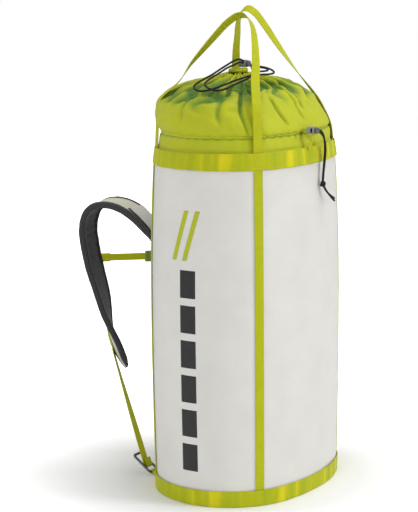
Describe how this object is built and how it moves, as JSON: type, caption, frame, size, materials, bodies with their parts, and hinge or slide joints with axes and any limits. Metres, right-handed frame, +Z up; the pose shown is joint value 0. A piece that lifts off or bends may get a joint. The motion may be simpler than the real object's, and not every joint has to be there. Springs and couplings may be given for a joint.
{
  "type": "rope storage bag",
  "caption": "Tall oval coated-fabric rope bag with a drawcord collar, webbing carry loops, padded shoulder straps, a sternum strap and ladder locks.",
  "frame": {"origin": "centre of the base, on the floor", "axes": "+Z up along the bag, -Y to the outer front, +Y to the wearer's back, +X to the wearer's right"},
  "size_m": [0.4564, 0.5318, 0.9883],
  "materials": {
    "coated_cloth": "satin coated tarpaulin",
    "webbing": "woven webbing",
    "collar_cloth": "light ripstop",
    "lining": "matt knitted lining",
    "binding": "folded edge tape",
    "foam": "closed-cell foam",
    "cord": "braided cord",
    "grey_plastic": "moulded",
    "green_plastic": "moulded",
    "steel": "dark polished",
    "spring_steel": "drawn wire"
  },
  "bodies": {
    "bag": {"wall_front": "coated_cloth", "wall_back": "coated_cloth", "wall_left": "coated_cloth", "wall_right": "coated_cloth", "base_panel": "coated_cloth", "base_band": "webbing", "rim_band": "webbing", "corner_strap_front_left": "webbing", "corner_strap_front_right": "webbing", "corner_strap_back_left": "webbing", "corner_strap_back_right": "webbing", "harness_patch": "coated_cloth", "lower_tab_left": "webbing", "lower_tab_right": "webbing", "collar_foot": "collar_cloth", "collar_top": "collar_cloth", "hem_tunnel": "collar_cloth", "mouth_tunnel": "collar_cloth", "hem_cord": "cord", "mouth_ring_cord": "cord", "mouth_lock_barrel": "grey_plastic", "mouth_lock_spring": "spring_steel", "side_lock_barrel": "grey_plastic", "side_lock_spring": "spring_steel", "side_lock_tape": "webbing", "adjuster_webbing_left": "webbing", "adjuster_webbing_right": "webbing", "side_cord_a": "cord", "side_cord_b": "cord", "side_cord_knot": "cord", "mouth_cord_outer": "cord", "mouth_cord_inner": "cord", "mouth_cord_knot": "cord"},
    "left_handle": {"handle_left": "webbing"},
    "right_handle": {"handle_right": "webbing"},
    "left_pad": {"pad_foam_left": "foam", "pad_cover_left": "coated_cloth", "pad_lining_left": "lining", "pad_binding_left": "binding", "anchor_flap_left": "coated_cloth", "pad_webbing_left": "webbing", "sternum_webbing_left": "webbing"},
    "right_pad": {"pad_foam_right": "foam", "pad_cover_right": "coated_cloth", "pad_lining_right": "lining", "pad_binding_right": "binding", "anchor_flap_right": "coated_cloth", "pad_webbing_right": "webbing", "sternum_webbing_right": "webbing", "sternum_buckle_male": "green_plastic"},
    "sternum_socket": {"sternum_buckle_female": "green_plastic"},
    "left_ladder_lock": {"ladder_lock_left": "steel"},
    "right_ladder_lock": {"ladder_lock_right": "steel"},
    "mouth_lock_plunger": {"mouth_lock_button": "grey_plastic"},
    "side_lock_plunger": {"side_lock_button": "grey_plastic"}
  },
  "joints": [
    {"name": "left_handle_swing", "type": "hinge", "parent": "bag", "child": "left_handle", "pos_m": [-0.1577, 0, 0.7144], "axis": [0, -1, 0], "range_deg": [0, 100]},
    {"name": "right_handle_swing", "type": "hinge", "parent": "bag", "child": "right_handle", "pos_m": [0.1577, 0, 0.7144], "axis": [0, 1, 0], "range_deg": [0, 100]},
    {"name": "left_pad_swing", "type": "hinge", "parent": "bag", "child": "left_pad", "pos_m": [-0.0925, 0.176, 0.531], "axis": [1, 0, 0], "range_deg": [-5, 3], "deforming": ["adjuster_webbing_left"]},
    {"name": "right_pad_swing", "type": "hinge", "parent": "bag", "child": "right_pad", "pos_m": [0.0925, 0.176, 0.531], "axis": [1, 0, 0], "range_deg": [-5, 3], "deforming": ["adjuster_webbing_right"]},
    {"name": "left_ladder_lock_tilt", "type": "hinge", "parent": "bag", "child": "left_ladder_lock", "pos_m": [-0.0925, 0.178, 0.007], "axis": [1, 0, 0], "range_deg": [-3, 4]},
    {"name": "right_ladder_lock_tilt", "type": "hinge", "parent": "bag", "child": "right_ladder_lock", "pos_m": [0.0925, 0.178, 0.007], "axis": [1, 0, 0], "range_deg": [-3, 4]},
    {"name": "sternum_buckle_release", "type": "slide", "parent": "left_pad", "child": "sternum_socket", "axis": [-0.8355, 0.5466, 0.0557], "range_m": [0, 0.016]},
    {"name": "mouth_lock_press", "type": "slide", "parent": "bag", "child": "mouth_lock_plunger", "axis": [0, 1, 0], "range_m": [0, 0.003], "stiffness_N_per_m": 400, "springref_m": -0.002, "deforming": ["mouth_lock_spring"]},
    {"name": "side_lock_press", "type": "slide", "parent": "bag", "child": "side_lock_plunger", "axis": [0, 1, 0], "range_m": [0, 0.003], "stiffness_N_per_m": 400, "springref_m": -0.002, "deforming": ["side_lock_spring"]}
  ],
  "couplings": [
    {"joint": "right_pad_swing", "follows": "left_pad_swing", "ratio": 1},
    {"joint": "left_ladder_lock_tilt", "follows": "left_pad_swing", "ratio": 0.6},
    {"joint": "right_ladder_lock_tilt", "follows": "left_pad_swing", "ratio": 0.6}
  ]
}
